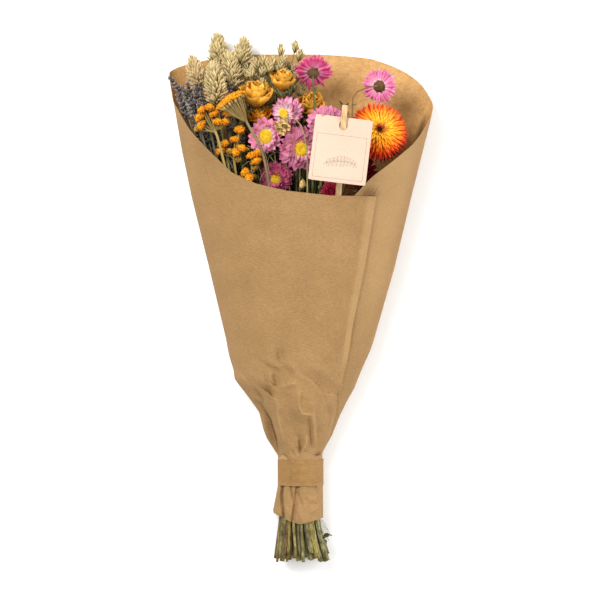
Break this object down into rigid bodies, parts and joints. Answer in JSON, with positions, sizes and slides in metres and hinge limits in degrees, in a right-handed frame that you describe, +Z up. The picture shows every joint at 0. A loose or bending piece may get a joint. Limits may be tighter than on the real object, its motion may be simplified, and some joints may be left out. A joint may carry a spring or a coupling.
{
  "type": "wrapped dried flower bouquet",
  "caption": "Mixed bouquet of dried flowers in a rolled kraft paper wrap, taped at the neck, with a small bare card on a wooden stick; lies on its back.",
  "frame": {"origin": "on the flat underside of the paper wrap, midway across it", "axes": "+Y from the cut stems to the flower heads, +Z up from the surface to the front of the bouquet, +X to the right seen from above"},
  "size_m": [0.2206, 0.4409, 0.0836],
  "materials": {
    "kraft_paper": "matte kraft paper",
    "paper_tape": "kraft paper tape",
    "card": "matte cream card",
    "wood": "bare pale wood",
    "canary_grass": "dried grass heads",
    "oats": "dried green oats",
    "lavender": "dried lavender",
    "yellow_buttons": "dried yellow florets",
    "umbel": "dried umbel on a grey twig",
    "roses": "dried rose petals",
    "stems": "dried green stems",
    "pink_petals": "papery pink petals",
    "daisy_discs": "yellow disc florets",
    "flame_bracts": "papery orange bracts",
    "amber_bracts": "papery yellow bracts",
    "red_bracts": "papery dark red bracts",
    "pods": "papery seed pods"
  },
  "bodies": {
    "root": {"canary_grass_1": "canary_grass", "canary_grass_2": "canary_grass", "canary_grass_3": "canary_grass", "canary_grass_4": "canary_grass", "canary_grass_5": "canary_grass", "canary_grass_6": "canary_grass", "canary_grass_7": "canary_grass", "card": "card", "daisy_1_disc": "daisy_discs", "daisy_1_petals": "pink_petals", "daisy_1_stem": "stems", "daisy_2_disc": "daisy_discs", "daisy_2_petals": "pink_petals", "daisy_2_stem": "stems", "daisy_3_disc": "daisy_discs", "daisy_3_petals": "pink_petals", "daisy_3_stem": "stems", "daisy_4_disc": "daisy_discs", "daisy_4_petals": "pink_petals", "daisy_4_stem": "stems", "daisy_5_disc": "daisy_discs", "daisy_5_petals": "pink_petals", "daisy_5_stem": "stems", "daisy_6_disc": "daisy_discs", "daisy_6_petals": "pink_petals", "daisy_6_stem": "stems", "daisy_7_disc": "daisy_discs", "daisy_7_petals": "pink_petals", "daisy_7_stem": "stems", "lavender_1": "lavender", "lavender_2": "lavender", "lavender_3": "lavender", "lavender_4": "lavender", "lavender_5": "lavender", "oat_spray_1": "oats", "oat_spray_2": "oats", "paper_band": "paper_tape", "paper_wrap": "kraft_paper", "pod_spray": "pods", "rose_1": "roses", "rose_2": "roses", "rose_3": "roses", "rose_4": "roses", "rose_stem_1": "stems", "rose_stem_2": "stems", "rose_stem_3": "stems", "rose_stem_4": "stems", "strawflower_crimson_bracts": "red_bracts", "strawflower_crimson_stem": "stems", "strawflower_dark_red_bracts": "red_bracts", "strawflower_dark_red_stem": "stems", "strawflower_flame_bracts": "flame_bracts", "strawflower_flame_heart": "amber_bracts", "strawflower_flame_stem": "stems", "wooden_stick": "wood", "yarrow_umbel": "umbel", "yellow_spray_1": "yellow_buttons", "yellow_spray_2": "yellow_buttons", "yellow_spray_3": "yellow_buttons"}
  },
  "joints": []
}
